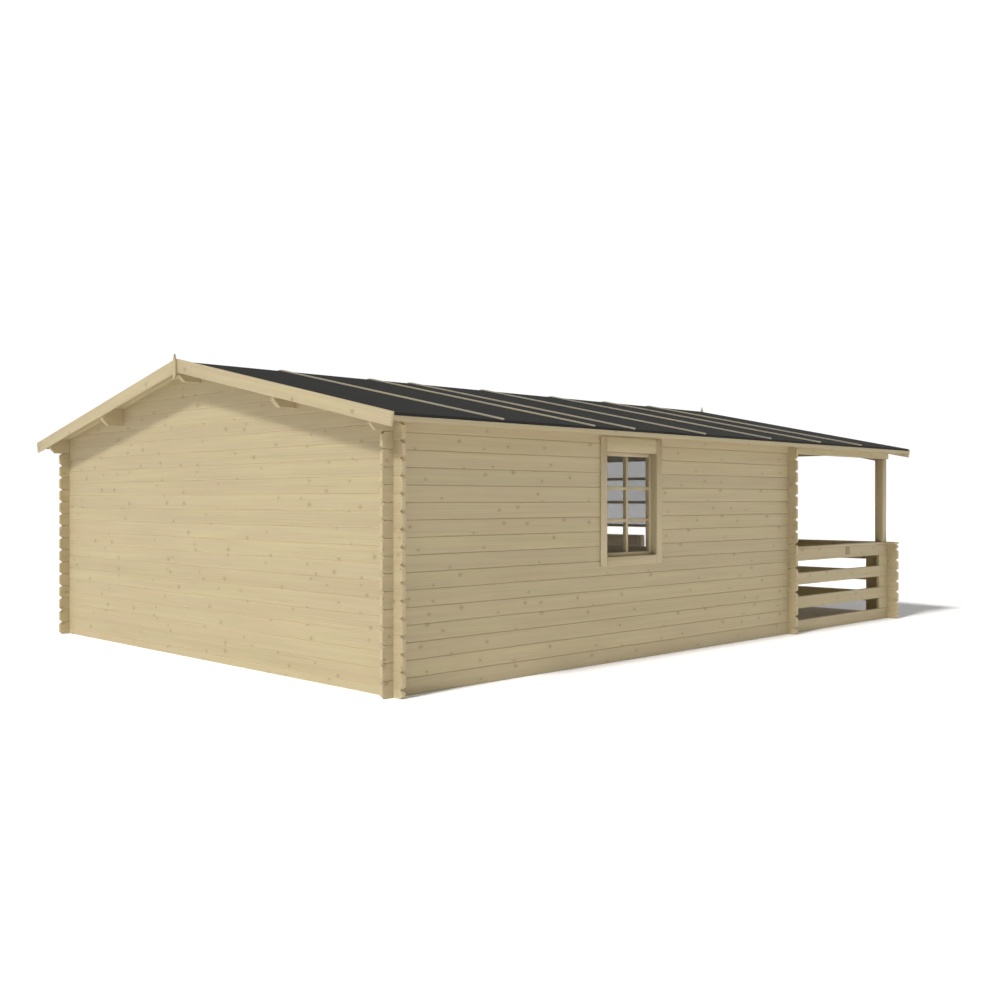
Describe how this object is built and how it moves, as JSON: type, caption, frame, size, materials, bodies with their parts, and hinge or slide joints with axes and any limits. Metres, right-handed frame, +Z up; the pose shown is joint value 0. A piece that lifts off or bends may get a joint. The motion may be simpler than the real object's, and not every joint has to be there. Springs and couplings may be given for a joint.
{
  "type": "log cabin with porch",
  "caption": "Timber log cabin with interlocking log corners, a low felted gable roof and a covered, railed porch.",
  "frame": {"origin": "on the ground, under the middle of the cabin's overall box", "axes": "+Z up, -Y towards the porch front, +X to the right for someone facing the porch"},
  "size_m": [5.486, 7.372, 2.4782],
  "materials": {
    "log": "planed, unpainted",
    "trim_board": "planed, unpainted",
    "roof_board": "planed, unpainted",
    "floor_board": "planed, unpainted",
    "roof_felt": "mineral grit",
    "roof_batten": "sawn, unpainted",
    "steel": "brushed",
    "clear_glass": "clear",
    "smoked_glass": "smoked"
  },
  "bodies": {
    "root": {"back_wall_even_logs": "log", "back_wall_odd_logs": "log", "left_wall_even_logs": "log", "left_wall_odd_logs": "log", "right_wall_even_logs": "log", "right_wall_odd_logs": "log", "front_wall_even_logs": "log", "front_wall_odd_logs": "log", "eave_logs": "log", "side_purlins": "roof_board", "ridge_purlin": "roof_board", "left_roof_boards": "roof_board", "right_roof_boards": "roof_board", "left_roof_felt": "roof_felt", "right_roof_felt": "roof_felt", "roof_battens": "roof_batten", "left_bargeboards": "trim_board", "right_bargeboards": "trim_board", "gable_finials": "trim_board", "eave_strips": "trim_board", "window_side_casings": "trim_board", "window_cross_casings": "trim_board", "window_frames": "trim_board", "window_sashes": "trim_board", "window_panes": "clear_glass", "door_casing": "trim_board", "door_frame": "trim_board", "left_door_leaf": "trim_board", "right_door_leaf": "trim_board", "door_upper_panes": "smoked_glass", "door_lower_panes": "clear_glass", "door_handles": "steel", "cabin_floor": "floor_board", "porch_floor": "floor_board", "floor_joists": "floor_board", "porch_front_rails": "log", "porch_front_stubs": "log", "porch_side_stubs": "log", "porch_side_caps": "trim_board", "porch_front_caps": "trim_board", "porch_rail_posts": "trim_board", "porch_posts": "trim_board", "porch_gable_even_logs": "log", "porch_gable_odd_logs": "log", "porch_brackets": "log"}
  },
  "joints": []
}
